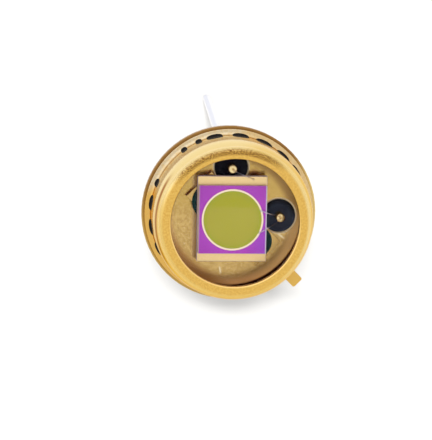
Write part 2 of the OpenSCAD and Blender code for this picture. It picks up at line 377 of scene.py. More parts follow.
def add_tube(build, path, radii, sides):
    """Adds a round rod along a path of points, with a radius at each one and closed ends."""
    rings = []
    side = Vector((0, 1, 0))
    for i, here in enumerate(path):
        ahead = path[min(i + 1, len(path) - 1)] - path[max(i - 1, 0)]
        ahead.normalize()
        side = side - ahead * side.dot(ahead)
        side.normalize()
        across = ahead.cross(side)
        ring = []
        for turn in range(sides):
            angle = 2 * math.pi * turn / sides
            out = side * math.cos(angle) + across * math.sin(angle)
            ring.append(build.verts.new(here + out * radii[i]))
        rings.append(ring)
    for ring, after in zip(rings, rings[1:]):
        for turn in range(sides):
            other = (turn + 1) % sides
            build.faces.new((ring[turn], ring[other], after[other], after[turn]))
    build.faces.new(rings[0])
    build.faces.new(rings[-1])


# Gold plating of the can
CAN_GRAIN = (9, 2.5)
CAN_CLOUD = (0.9, 3)
CAN_DRAWN = (9, 2, (1, 1, 0.06))
CAN_ROUGHNESS = (0.16, 0.26)
CAN_BUMP = 0.0012
SHEEN_TONES = (tone(240, 212, 152), tone(255, 250, 236))
SHEEN_KEY_RANGE = (0.5, 3.6)
WALL_AND_HIGHLIGHT_TONES = (tone(220, 174, 88), tone(214, 196, 162))
WALL_HIGHLIGHT_KEY_RANGE = (3.0, 3.6)
WALL_HIGHLIGHT_RIGHT_RANGE = (-3.0, 1.0)
WALL_HIGHLIGHT_RIGHT_SHARE = 0.6
WALL_TOP_RANGE = (0.2, -0.3)
WALL_SMOOTHER = 0.1
DRAWN_TONE = tone(206, 166, 96)
DRAWN_RANGE = (0.35, 0.75)
DRAWN_SHARE = 0.5
SHOULDER_TONES = (tone(230, 198, 120), tone(224, 190, 110))
SHOULDER_FOOT_RANGE = (-0.35, 0.15)
SHOULDER_HIGHLIGHT_TONE = tone(234, 210, 148)
SHOULDER_HIGHLIGHT_KEY_RANGE = (3.1, 4.1)
SHOULDER_HIGHLIGHT_RIGHT_RANGE = (1.5, 4.0)
FRONT_TONES = (tone(218, 172, 82), tone(230, 188, 98))
FRONT_GRAIN_RANGE = (0.3, 0.7)
FRONT_EDGE_RANGE = (0.2, 0.02)
DARK_REFLECTION_TONE = tone(132, 92, 40)
REFLECTION_SPECKLE_NOISE = (19, 2)
REFLECTION_SPECKLE_RANGE = (0.42, 0.58)
REFLECTION_SPECKLE_SHARES = (0.3, 1.0)
REFLECTION_OUTER_RANGE = (0.26, 0.14)
REFLECTION_INNER_RANGE = (-0.18, -0.06)
REFLECTION_SIDE = (-0.14, 0.99, 0)
REFLECTION_SIDE_RANGE = (2.2, 3.1)
LINE_TONE = tone(160, 96, 14)
LINE_Z = 3.43
LINE_WIDTH_RANGE = (0.2, 0.08)
LINE_LEFT_RANGE = (-3.1, -3.7)
LIP_HIGHLIGHT_TONE = tone(246, 208, 132)
LIP_HIGHLIGHT_EDGE_RANGE = (0.1, 0.05)
LIP_HIGHLIGHT_LOWER_RANGE = (1.0, -1.0)
INSIDE_AND_GROOVE_SHADE_TONES = (tone(150, 74, 26), tone(250, 226, 200))
GROOVE_SHADE_RANGE = (-0.1, 0.1)
INSIDE_EDGE_RANGE = (0.05, 0)
INSIDE_METAL = (1.0, 0.0)


def gold_can():
    """Satin wall with drawn lines, bright shoulder, grained front ring and matt inside.

    The wall and the shoulder carry painted highlights towards the bright side of the tent and to the
    right, where the reflections also take a whiter painted tint. The shoulder has a brown line at the left,
    the front ring a speckled arc of painted dark reflection and a painted highlight on its lower lip, and
    the inside has painted brown shade in the groove round the floor.
    """
    gold = Surface("gold_can")
    grain = gold.noise(*CAN_GRAIN)
    toward_key = gold.toward(KEY_SIDE)
    # Painted sheen: the reflections turn whiter towards the bright side of the tent
    gold.paint("Specular Tint", gold.mix(gold.band(toward_key, *SHEEN_KEY_RANGE), *SHEEN_TONES))
    # Painted highlight: the wall pales towards the bright side of the tent and to the right
    right_wall_highlight = gold.both(gold.band(gold.x, *WALL_HIGHLIGHT_RIGHT_RANGE), WALL_HIGHLIGHT_RIGHT_SHARE)
    wall = gold.mix(gold.either(gold.band(toward_key, *WALL_HIGHLIGHT_KEY_RANGE), right_wall_highlight), *WALL_AND_HIGHLIGHT_TONES)
    drawn = gold.band(gold.noise(*CAN_DRAWN), *DRAWN_RANGE)
    wall = gold.mix(gold.both(drawn, DRAWN_SHARE), wall, DRAWN_TONE)
    shoulder = gold.mix(gold.noise(*CAN_CLOUD), *SHOULDER_TONES)
    # Painted highlight: the shoulder pales to the right and towards the bright side of the tent
    right_highlight = gold.band(gold.x, *SHOULDER_HIGHLIGHT_RIGHT_RANGE)
    shoulder_highlight = gold.either(right_highlight, gold.band(toward_key, *SHOULDER_HIGHLIGHT_KEY_RANGE))
    shoulder = gold.mix(shoulder_highlight, shoulder, SHOULDER_HIGHLIGHT_TONE)
    front = gold.mix(gold.band(grain, *FRONT_GRAIN_RANGE), *FRONT_TONES)
    outer = gold.mix(gold.band(gold.z, *SHOULDER_FOOT_RANGE, shoulder_z), wall, shoulder)
    outer = gold.mix(gold.band(gold.radius, *FRONT_EDGE_RANGE, front_r), outer, front)
    # Painted dark reflection: a dark arc on the upper inner shoulder, speckled like rough plating
    reflection_speckle = gold.spread(gold.band(gold.noise(*REFLECTION_SPECKLE_NOISE), *REFLECTION_SPECKLE_RANGE), *REFLECTION_SPECKLE_SHARES)
    reflection_ring = gold.both(gold.band(gold.radius, *REFLECTION_OUTER_RANGE, front_r),
                         gold.band(gold.radius, *REFLECTION_INNER_RANGE, front_r))
    reflection_arc = gold.both(reflection_ring, gold.band(gold.toward(REFLECTION_SIDE), *REFLECTION_SIDE_RANGE))
    outer = gold.mix(gold.both(reflection_arc, reflection_speckle), outer, DARK_REFLECTION_TONE)
    near_line = gold.band(gold.gap(gold.z, LINE_Z), *LINE_WIDTH_RANGE)
    line = gold.both(near_line, gold.band(gold.x, *LINE_LEFT_RANGE))
    outer = gold.mix(line, outer, LINE_TONE)
    # Painted highlight along the lower edge of the aperture's lip
    lip = gold.both(gold.band(gold.radius, *LIP_HIGHLIGHT_EDGE_RANGE, aperture_r),
                    gold.band(gold.y, *LIP_HIGHLIGHT_LOWER_RANGE))
    outer = gold.mix(lip, outer, LIP_HIGHLIGHT_TONE)
    # Painted shade: the inside turns brown low in the groove round the floor; the pale tone above is its own
    inside = gold.mix(gold.band(gold.z, *GROOVE_SHADE_RANGE, floor_z), *INSIDE_AND_GROOVE_SHADE_TONES)
    hidden = gold.both(gold.band(gold.radius, *INSIDE_EDGE_RANGE, cap_inner_r),
                       gold.band(gold.z, *INSIDE_EDGE_RANGE, ceiling_z))
    gold.paint("Base Color", gold.mix(hidden, outer, inside))
    gold.paint("Metallic", gold.spread(hidden, *INSIDE_METAL))
    smoother = gold.both(gold.band(gold.z, *WALL_TOP_RANGE, shoulder_z), WALL_SMOOTHER)
    gold.paint("Roughness", gold.math("SUBTRACT", gold.spread(grain, *CAN_ROUGHNESS), smoother))
    gold.bump(grain, CAN_BUMP)
    return gold


# Gold plating of the header; a glint is a painted highlight, given by its middle, its turn in degrees,
# its length and its width
HEADER_GRAIN = (9, 2.5)
HEADER_CLOUD = (0.7, 3)
HEADER_ROUGHNESS = (0.14, 0.2)
FLOOR_TONES = (tone(234, 200, 128), tone(226, 190, 116))
FLOOR_METAL = (0.72, 0.1)
SAND_TONE = tone(204, 168, 98)
SAND_RANGE = (0.4, 0.6)
UPPER_TONE = tone(214, 178, 88)
UPPER_RANGE = (-0.4, 1.2)
UPPER_SHARE = 0.6
CARRIER_SHADOWS = [(1.2, 2.08), (-1.15, 2.08)]
CARRIER_SHADOW_TONE = tone(150, 86, 44)
CARRIER_SHADOW_RANGE = (0.5, 0.1)
BLOCK_FOOT_SHADE_TONE = tone(128, 72, 24)
BLOCK_FOOT_SHADE_RANGE = (0.09, 0.03)
FLOOR_GLINTS = [(-0.49, -2.9, 100, 0.6, 0.14), (2.70, -1.10, -36, 0.74, 0.14)]
GLINT_TONE = tone(255, 236, 190)
GLINT_RANGE = (1.0, 0.3)
BEAD_RIM_HIGHLIGHT_TONE = tone(252, 236, 196)
BEAD_RIM_HIGHLIGHT_RANGE = (0.1, 0.06)
LIT_STRIP_TONE = tone(240, 202, 140)
STRIP_RANGE = (0.28, 0.03)
STRIP_END_RANGE = (0.1, -0.3)
ANNULUS_CENTRE = (0, -0.2)
ANNULUS_RANGE = (2.87, 3.37)
ANNULUS_DULL = 0.7
ANNULUS_TONES = (tone(246, 196, 130), tone(232, 180, 114))
ANNULUS_RIGHT_LIGHT_TONE = tone(254, 214, 142)
ANNULUS_RIGHT_LIGHT_RANGE = (0.8, 2.4)
ANNULUS_UPPER_SHADE_TONE = tone(176, 136, 66)
ANNULUS_UPPER_SHADE_RANGE = (-0.8, 1.0)
RIM_SHADE_TONE = tone(176, 126, 64)
RIM_SHADE_SIDE = (-0.7, -0.71, 0)
RIM_SHADE_SIDE_RANGE = (2.3, 3.3)
RIM_SHADE_R_RANGE = (2.8, 3.3)
SIDE_SHADE_TONE = tone(136, 70, 28)
SIDE_SHADE_RANGE = (-0.05, -0.15)
FLANGE_EDGE_NOISE = (3, 3)
FLANGE_EDGE_REFLECTION_TONES = (tone(160, 118, 56), tone(140, 100, 42))
FLANGE_EDGE_RANGE = (-0.06, 0.02)
FLANGE_EDGE_LOWER_LIGHT_TONE = tone(190, 156, 80)
FLANGE_EDGE_LOWER_LIGHT_RANGE = (1.8, -1.2)
FLANGE_EDGE_RIGHT_LIGHT_TONE = tone(222, 192, 118)
FLANGE_EDGE_RIGHT_LIGHT_RANGE = (3.2, 4.4)
TAB_TONES = (tone(234, 192, 92), tone(222, 176, 78))
TAB_RANGE = (0.01, 0.06)
UNDER_TONES = (tone(226, 188, 106), tone(212, 170, 88))
UNDER_RANGE = (0.05, 0.02)
DISH_CENTRE = (0.1, 0.04)
DISH_START_R = 2
DISH_POWER = 2.0
DISH_H = 0.025
GRAIN_H = 0.0004


def far_end_gap(surface):
    """Distance beyond the far end of the carrier's block, with the block's width added short of that end."""
    middle = (block_low + block_high) / 2
    half_l = (block_high.x - block_low.x) / math.sqrt(2) - BLOCK_W / 2
    turned = surface.turned(middle, BLOCK_TURN)
    along, across, _ = surface.add("ShaderNodeSeparateXYZ", {0: turned}).outputs
    past_end = surface.math("SUBTRACT", middle.x - half_l, along)
    past_side = surface.math("SUBTRACT", surface.gap(across, middle.y), BLOCK_W / 2)
    short = surface.math("MULTIPLY", surface.math("LESS_THAN", past_end, 0.0), BLOCK_W)
    return surface.math("ADD", surface.math("MAXIMUM", past_end, past_side), short)


def glint(surface, x, y, turn, length, width):
    """Share of a soft painted glint about a point, 1 along its middle."""
    turned = surface.turned((x, y, 0), math.radians(-turn))
    aside = surface.vector("SUBTRACT", turned, (x, y, 0))
    scaled = surface.vector("MULTIPLY", aside, (2 / length, 2 / width, 0))
    return surface.band(surface.vector("LENGTH", scaled, result="Value"), *GLINT_RANGE)


def gold_header():
    """Sandy floor rising to its rim, painted shade on its sides, painted dark reflection on its flange edge.

    The floor is deeper in tone in its upper half. It has painted shadows beside the carrier's upper edge,
    painted glints, painted shade along the block's far end, painted highlights round the beads and a matt
    strip beside the carrier that is painted pale. A matt annulus, a little off centre, has painted shade in
    its upper half, painted light at the right and painted shade at the lower left. The flange edge has
    painted light towards the bottom and the right; the tab and the underside are plain.
    """
    gold = Surface("gold_header")
    grain = gold.noise(*HEADER_GRAIN)
    cloud = gold.noise(*HEADER_CLOUD)
    floor = gold.mix(cloud, *FLOOR_TONES)
    floor = gold.mix(gold.band(grain, *SAND_RANGE), SAND_TONE, floor)
    floor = gold.mix(gold.both(gold.band(gold.y, *UPPER_RANGE), UPPER_SHARE), floor, UPPER_TONE)
    # Painted shadows: brown patches on the floor beside the carrier's upper edge
    for x, y in CARRIER_SHADOWS:
        floor = gold.mix(gold.band(gold.away(x, y), *CARRIER_SHADOW_RANGE), floor, CARRIER_SHADOW_TONE)
    # Painted shade: a dark line on the floor along the foot of the block's far end
    floor = gold.mix(gold.band(far_end_gap(gold), *BLOCK_FOOT_SHADE_RANGE), floor, BLOCK_FOOT_SHADE_TONE)
    # Painted highlights: pale glints on the floor
    for spec in FLOOR_GLINTS:
        floor = gold.mix(glint(gold, *spec), floor, GLINT_TONE)
    # Painted highlights: pale, matt rims on the bevels round the beads
    rims = gold.band(gold.from_pins(), *BEAD_RIM_HIGHLIGHT_RANGE, bead_r)
    floor = gold.mix(rims, floor, BEAD_RIM_HIGHLIGHT_TONE)
    # Matt strip beside the carrier, painted pale as light over the carrier's dark mirror image
    half_l = (plate_high.y - plate_low.y) / 2
    strip = gold.both(gold.band(gold.gap(gold.x, plate_low.x), *STRIP_RANGE),
                      gold.band(gold.gap(gold.y, carrier_y), *STRIP_END_RANGE, half_l))
    floor = gold.mix(strip, floor, LIT_STRIP_TONE)
    annulus = gold.math("SUBTRACT", gold.band(gold.away(*ANNULUS_CENTRE), *ANNULUS_RANGE), rims)
    matt = gold.mix(grain, *ANNULUS_TONES)
    # Painted light at the right of the annulus and painted shade in its upper half
    matt = gold.mix(gold.band(gold.x, *ANNULUS_RIGHT_LIGHT_RANGE), matt, ANNULUS_RIGHT_LIGHT_TONE)
    matt = gold.mix(gold.band(gold.y, *ANNULUS_UPPER_SHADE_RANGE), matt, ANNULUS_UPPER_SHADE_TONE)
    floor = gold.mix(annulus, floor, matt)
    # Painted shade at the lower left of the annulus
    rim_shade = gold.both(gold.band(gold.toward(RIM_SHADE_SIDE), *RIM_SHADE_SIDE_RANGE),
                          gold.band(gold.radius, *RIM_SHADE_R_RANGE))
    floor = gold.mix(rim_shade, floor, RIM_SHADE_TONE)
    dull = gold.either(gold.either(rims, strip), gold.both(annulus, ANNULUS_DULL))
    gold.paint("Metallic", gold.spread(dull, *FLOOR_METAL))
    # Painted shade: the sides below the floor turn dark brown
    floor = gold.mix(gold.band(gold.z, *SIDE_SHADE_RANGE, floor_z), floor, SIDE_SHADE_TONE)
    # Painted dark reflection: the flange edge is brown, with painted light towards the bottom and the right
    flange_edge = gold.mix(gold.noise(*FLANGE_EDGE_NOISE), *FLANGE_EDGE_REFLECTION_TONES)
    flange_edge = gold.mix(gold.band(gold.y, *FLANGE_EDGE_LOWER_LIGHT_RANGE), flange_edge, FLANGE_EDGE_LOWER_LIGHT_TONE)
    flange_edge = gold.mix(gold.band(gold.x, *FLANGE_EDGE_RIGHT_LIGHT_RANGE), flange_edge, FLANGE_EDGE_RIGHT_LIGHT_TONE)
    colour = gold.mix(gold.band(gold.radius, *FLANGE_EDGE_RANGE, brim_r), floor, flange_edge)
    colour = gold.mix(gold.band(gold.z, *UNDER_RANGE), colour, gold.mix(cloud, *UNDER_TONES))
    tab = gold.mix(cloud, *TAB_TONES)
    gold.paint("Base Color", gold.mix(gold.band(gold.radius, *TAB_RANGE, flange_r), colour, tab))
    gold.paint("Roughness", gold.spread(grain, *HEADER_ROUGHNESS))
    past_flat = gold.math("SUBTRACT", gold.away(*DISH_CENTRE), DISH_START_R)
    dish = gold.math("POWER", gold.math("MAXIMUM", past_flat, 0.0), DISH_POWER)
    gold.bump(gold.math("ADD", dish, gold.math("MULTIPLY", grain, GRAIN_H / DISH_H)), DISH_H)
    return gold


# Gold block under the carrier, with painted shade on its dark brown sides
BLOCK_GRAIN = (13, 2.5)
BLOCK_TONES = (tone(214, 180, 112), tone(200, 166, 98))
BLOCK_EDGE_RANGE = (-0.03, -0.005)
BLOCK_SIDE_SHADE_NOISE = (4, 3)
BLOCK_SIDE_SHADE_TONES = (tone(140, 84, 30), tone(112, 62, 18))
BLOCK_ROUGHNESS = (0.2, 0.28)
BLOCK_BUMP = 0.0004


def gold_block():
    gold = Surface("gold_block", Metallic=0.9)
    grain = gold.noise(*BLOCK_GRAIN)
    top = gold.mix(grain, *BLOCK_TONES)
    # Painted shade: the block's sides are dark brown
    sides = gold.mix(gold.noise(*BLOCK_SIDE_SHADE_NOISE), *BLOCK_SIDE_SHADE_TONES)
    gold.paint("Base Color", gold.mix(gold.band(gold.z, *BLOCK_EDGE_RANGE, block_high.z), sides, top))
    gold.paint("Roughness", gold.spread(grain, *BLOCK_ROUGHNESS))
    gold.bump(grain, BLOCK_BUMP)
    return gold


# Glass of the beads, with the faint rings of a fired meniscus as bumps, lightened in painted reflection,
# and painted shade at the upper edge; the cathode bead's darker tones are painted shade
BEAD_ANODE_TONES = (tone(36, 44, 64), tone(78, 88, 114))
BEAD_ANODE_GLOSS = 0.05
BEAD_CATHODE_SHADED_TONES = (tone(8, 6, 20), tone(24, 18, 44))
BEAD_CATHODE_GLOSS = 0.04
BEAD_CLOUD = (2.2, 3)
BEAD_RING_RATE = 26.0
BEAD_RING_SHARES = (0.5, 0.9)
BEAD_UPPER_SHADE_TONE = tone(10, 10, 14)
BEAD_EDGE_R = 0.5
BEAD_UPPER_SHADE_RANGE = (-0.3, 0.3)
BEAD_BUMP = 0.0003


def bead_glass(name, tones, gloss):
    glass = Surface(name, Roughness=0.32, Specular_IOR_Level=gloss)
    rings = glass.math("SINE", glass.math("MULTIPLY", glass.radius, BEAD_RING_RATE))
    # Painted reflection: the rings are lighter in tone
    share = glass.both(glass.spread(rings, *BEAD_RING_SHARES), glass.noise(*BEAD_CLOUD))
    colour = glass.mix(share, *tones)
    # Painted shade: the upper edge of the bead turns darker
    edge = glass.band(glass.radius, BEAD_EDGE_R, bead_r)
    upper_shade = glass.both(edge, glass.band(glass.y, *BEAD_UPPER_SHADE_RANGE))
    glass.paint("Base Color", glass.mix(upper_shade, colour, BEAD_UPPER_SHADE_TONE))
    glass.bump(rings, BEAD_BUMP)
    return glass


# Lead wire, gold plated near the header and solder dipped below
LEAD_GRAIN = (12, 2)
LEAD_ROUGHNESS = (0.18, 0.32)
TIN_RUNS = (5, 3, (1, 1, 0.08))
TIN_BUMP = 0.002
TIN_TONES = (tone(252, 252, 255), tone(244, 245, 252))
SHADE_STREAK_SIDE = (-0.51, 0.86, 0)
SHADE_STREAK_TONE = tone(218, 222, 238)
SHADE_STREAK_RANGE = (0.72, 0.97)
FAR_SHADE_TONES = (tone(184, 188, 198), tone(204, 207, 216))
FAR_SHADE_RANGE = (0.2, -0.5)
PLATED_NOISE = (6, 2)
PLATED_TONES = (tone(246, 220, 160), tone(226, 190, 116))
HEAD_TONES = (tone(240, 216, 160), tone(208, 170, 108))
HEAD_MIDDLE_RANGE = (0.1, 0.03)
HEAD_EDGE_SHADE_TONE = tone(128, 92, 52)
HEAD_EDGE_SHADE_RANGE = (-0.05, -0.02)
HEAD_TOP_RANGE = (-0.02, -0.005)
DIP_START = 0.1


def lead_metal():
    """Gold head browner in the middle, painted shade on its edge; solder with painted shade on two sides."""
    metal = Surface("lead_metal", Metallic=1.0)
    runs = metal.noise(*TIN_RUNS)
    normal = metal.add("ShaderNodeNewGeometry").outputs["Normal"]
    # Painted shade: the solder turns lavender along one side and grey on the far side
    facing = metal.vector("DOT_PRODUCT", normal, SHADE_STREAK_SIDE, result="Value")
    tin = metal.mix(runs, *TIN_TONES)
    tin = metal.mix(metal.band(facing, *SHADE_STREAK_RANGE), tin, SHADE_STREAK_TONE)
    tin = metal.mix(metal.band(facing, *FAR_SHADE_RANGE), tin, metal.mix(runs, *FAR_SHADE_TONES))
    gold = metal.mix(metal.noise(*PLATED_NOISE), *PLATED_TONES)
    from_axis = metal.from_pins()
    head = metal.mix(metal.band(from_axis, *HEAD_MIDDLE_RANGE), *HEAD_TONES)
    # Painted shade on the head's bevelled edge
    head = metal.mix(metal.band(from_axis, *HEAD_EDGE_SHADE_RANGE, lead_r), head, HEAD_EDGE_SHADE_TONE)
    gold = metal.mix(metal.band(metal.z, *HEAD_TOP_RANGE, head_z), gold, head)
    dipped = metal.band(metal.z, -DIP_START, -TIN_FADE_L, -BARE_L)
    metal.paint("Base Color", metal.mix(dipped, gold, tin))
    metal.paint("Roughness", metal.spread(metal.noise(*LEAD_GRAIN), *LEAD_ROUGHNESS))
    metal.bump(runs, TIN_BUMP)
    return metal


# Gold film on the carrier and round the light-sensitive area
PAD_TONES = (tone(246, 216, 158), tone(238, 206, 144))
CONTACT_TONES = (tone(255, 236, 210), tone(255, 228, 198))
FILM_GRAIN = (12, 2)
FILM_CLOUD = (1.6, 3)
FILM_PALE_RANGE = (0.35, 0.75)
FILM_ROUGHNESS = (0.25, 0.4)
FILM_BUMP = 0.0015


def gold_film(name, pale, deep):
    film = Surface(name, Metallic=1.0)
    grain = film.noise(*FILM_GRAIN)
    colour = film.mix(film.noise(*FILM_CLOUD), pale, deep)
    film.paint("Base Color", film.mix(film.band(grain, *FILM_PALE_RANGE), colour, pale))
    film.paint("Roughness", film.spread(grain, *FILM_ROUGHNESS))
    film.bump(grain, FILM_BUMP)
    return film


# Chip: purple coated silicon, bluer at the lower right, with frosted saw cuts at its left and right edges
CHIP_CLOUD = (0.8, 2)
CHIP_TONES = (tone(182, 68, 202), tone(192, 78, 212))
CHIP_BLUE_TONE = tone(172, 76, 216)
CHIP_RIGHT_RANGE = (0.6, 1.8)
CHIP_LOWER_RANGE = (0.4, -1.4)
CHIP_GRAIN = (20, 2)
CHIP_BUMP = 0.0004
CUT_RANGE = (-0.08, -0.03)
FROST_NOISE = (14, 2)
FROST_TONES = (tone(206, 192, 222), tone(232, 224, 240))
FROST_LEFT_TONE = tone(186, 160, 176)
FROST_LEFT_RANGE = (0.2, -0.2)


def chip_face():
    chip = Surface("chip_face", Roughness=0.22, Specular_IOR_Level=0.3)
    purple = chip.mix(chip.noise(*CHIP_CLOUD), *CHIP_TONES)
    bluer = chip.both(chip.band(chip.x, *CHIP_RIGHT_RANGE), chip.band(chip.y, *CHIP_LOWER_RANGE))
    purple = chip.mix(bluer, purple, CHIP_BLUE_TONE)
    cut = chip.band(chip.math("ABSOLUTE", chip.x), *CUT_RANGE, die_edge_x)
    frost = chip.mix(chip.noise(*FROST_NOISE), *FROST_TONES)
    frost = chip.mix(chip.band(chip.x, *FROST_LEFT_RANGE), frost, FROST_LEFT_TONE)
    chip.paint("Base Color", chip.mix(cut, purple, frost))
    chip.bump(chip.noise(*CHIP_GRAIN), CHIP_BUMP)
    return chip


# Light-sensitive area: olive coating, deeper in its upper part and greener towards its rim
COAT_CLOUD = (1.1, 2)
COAT_TONES = (tone(182, 176, 58), tone(188, 182, 68))
COAT_UPPER_TONE = tone(180, 178, 44)
COAT_UPPER_RANGE = (0.45, 0.75)
COAT_RIM_TONE = tone(172, 180, 52)
COAT_RIM_RANGE = (1.2, 1.56)
COAT_GRAIN = (18, 2)
COAT_BUMP = 0.0003


def sensing_face():
    face = Surface("sensing_face", Roughness=0.2, Specular_IOR_Level=0.3)
    olive = face.mix(face.noise(*COAT_CLOUD), *COAT_TONES)
    olive = face.mix(face.band(face.y, *COAT_UPPER_RANGE), olive, COAT_UPPER_TONE)
    rim = face.band(face.away(0, carrier_y), *COAT_RIM_RANGE)
    face.paint("Base Color", face.mix(rim, olive, COAT_RIM_TONE))
    face.bump(face.noise(*COAT_GRAIN), COAT_BUMP)
    return face


# Coated window glass: clear, with a weak mirror image and a few specks
PANE_CLOUD = (0.6, 2)
PANE_TONES = (tone(236, 240, 252), tone(250, 246, 255))
PANE_CLEAR = (0.985, 0.985, 0.985, 1)
PANE_IOR = 1.1
SPECK_NOISE = (7, 1)
SPECK_RANGE = (0.76, 0.82)
SPECK_SHARE = 0.1


def window_glass():
    glass = Surface("window_glass", Roughness=0.03, Metallic=1.0)
    glass.paint("Base Color", glass.mix(glass.noise(*PANE_CLOUD), *PANE_TONES))
    clear = glass.add("ShaderNodeBsdfTransparent", {"Color": PANE_CLEAR})
    mirror = glass.add("ShaderNodeFresnel", {"IOR": PANE_IOR}).outputs["Fac"]
    dust = glass.both(glass.band(glass.noise(*SPECK_NOISE), *SPECK_RANGE), SPECK_SHARE)
    share = glass.math("ADD", mirror, dust)
    ports = {0: share, 1: clear.outputs["BSDF"], 2: glass.shader.outputs["BSDF"]}
    pane = glass.add("ShaderNodeMixShader", ports)
    glass.tree.links.new(pane.outputs["Shader"], glass.tree.nodes["Material Output"].inputs["Surface"])
    return glass


# Drawn wire of the bonds
BOND_RUNS = (20, 2)
BOND_TONES = (tone(206, 200, 212), tone(230, 224, 234))
BOND_SHADE_TONE = tone(120, 116, 128)
BOND_SHADE_RANGE = (0.75, 0.45)
LOWER_WIRE_SHADE_TONE = tone(64, 62, 76)
LOWER_WIRE_SHADE_RANGE = (-0.02, -0.1)
LOWER_WIRE_SHADE_REACH = (0.9, 0.7)
BOND_GOLD_AND_REFLECTION_TONE = tone(250, 226, 176)
BOND_PRESSED_RANGE = (0.02, -0.02)
BAR_REFLECTION_RANGE = (0.5, 0.2)
BOND_METAL = (1.0, 0.2)
BOND_ROUGHNESS = (0.2, 0.35)
BOND_BUMP = 0.0005


def bond_metal():
    """Pale metal with painted shade towards the lead heads, most of all on the lower anode wire.

    It is gold where its bond lies flat on a lead head. Near the bar it is a gold with little shine, which
    is a painted reflection of the bar.
    """
    metal = Surface("bond_metal")
    runs = metal.noise(*BOND_RUNS)
    from_pin = metal.from_pins()
    drawn = metal.mix(runs, *BOND_TONES)
    # Painted shade: the wire darkens towards the lead heads
    drawn = metal.mix(metal.band(from_pin, *BOND_SHADE_RANGE), drawn, BOND_SHADE_TONE)
    # Painted shade: darker still on the lower anode wire
    lower = metal.both(metal.band(metal.y, *LOWER_WIRE_SHADE_RANGE), metal.band(from_pin, *LOWER_WIRE_SHADE_REACH))
    drawn = metal.mix(lower, drawn, LOWER_WIRE_SHADE_TONE)
    # Painted reflection of the bar: the wire turns gold with little shine near it
    bar_reflection = metal.band(metal.away(bar_bond.x, bar_bond.y), *BAR_REFLECTION_RANGE)
    pressed_and_bar_reflection = metal.either(metal.band(from_pin, *BOND_PRESSED_RANGE, lead_r), bar_reflection)
    metal.paint("Base Color", metal.mix(pressed_and_bar_reflection, drawn, BOND_GOLD_AND_REFLECTION_TONE))
    metal.paint("Metallic", metal.spread(bar_reflection, *BOND_METAL))
    metal.paint("Roughness", metal.spread(runs, *BOND_ROUGHNESS))
    metal.bump(runs, BOND_BUMP)
    return metal


# Plain materials: lavender ceramic, dark blue-green adhesive, solder, grey solder glass and black ink
ceramic = two_tone(
    "carrier_ceramic", noise=(16, 3), tones=(tone(196, 186, 210), tone(228, 220, 238)), depth=0.002,
    Roughness=0.55, Specular_IOR_Level=0.3,
)
adhesive = two_tone(
    "adhesive", noise=(3, 3), tones=(tone(6, 44, 44), tone(18, 70, 68)), depth=0.004,
    Roughness=0.25, Specular_IOR_Level=0.1,
)
solder = two_tone(
    "solder", noise=(14, 3), tones=(tone(150, 120, 92), tone(190, 170, 150)), depth=0.002,
    rough_range=(0.3, 0.5), Metallic=1.0,
)
solder_glass = two_tone(
    "solder_glass", noise=(6, 3), tones=(tone(136, 131, 127), tone(162, 157, 152)), depth=0.002,
    Roughness=0.3, Specular_IOR_Level=0.4,
)
ink = two_tone(
    "ink", noise=(9, 3), tones=(tone(14, 13, 15), tone(34, 30, 30)), depth=0.001,
    Roughness=0.6, Specular_IOR_Level=0.1,
)


# Cap: drawn shell with brim, wall, rounded shoulder, front ring and lip
def make_cap(material):
    fillet_centre = (cap_r + BRIM_FILLET_R, brim_z + BRIM_FILLET_R)
    profile = [(cap_inner_r, flange_t)]
    profile += arc((brim_r - EDGE_R, flange_t + EDGE_R), EDGE_R, EDGE_R, -90, 0, EDGE_STEPS)
    profile += arc((brim_r - EDGE_R, brim_z - EDGE_R), EDGE_R, EDGE_R, 0, 90, EDGE_STEPS)
    profile += arc(fillet_centre, BRIM_FILLET_R, BRIM_FILLET_R, 270, 180, FILLET_STEPS)
    profile += arc((front_r, shoulder_z), SHOULDER_W, cap_h - shoulder_z, 0, 90, SHOULDER_STEPS)
    profile += arc((aperture_r + LIP_R, cap_h - LIP_R), LIP_R, LIP_R, 90, 180, LIP_STEPS)
    profile += [(aperture_r, ceiling_z)]
    profile += arc((front_r, shoulder_z), cap_inner_r - front_r, ceiling_z - shoulder_z, 90, 0)
    cap = finish_mesh("cap_shell", lathe(profile, CAN_SIDES), material)
    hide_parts("cap")


# Glass bead with a meniscus that climbs to the lead and to the hole's edge
def make_bead(node, place, material):
    low, high = box_mm(node)
    shares = [step / ARC_STEPS for step in range(ARC_STEPS + 1)]
    dish = [(lead_r + (bead_r - lead_r) * share, BEAD_DISH * hump(share)) for share in shares]
    profile = [(r, low.z + dip) for r, dip in dish]
    profile += [(r, high.z - dip) for r, dip in reversed(dish)]
    build = lathe(profile, BEAD_SIDES)
    bead = finish_mesh(node + "_glass", build, material, place=place)
    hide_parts(node)


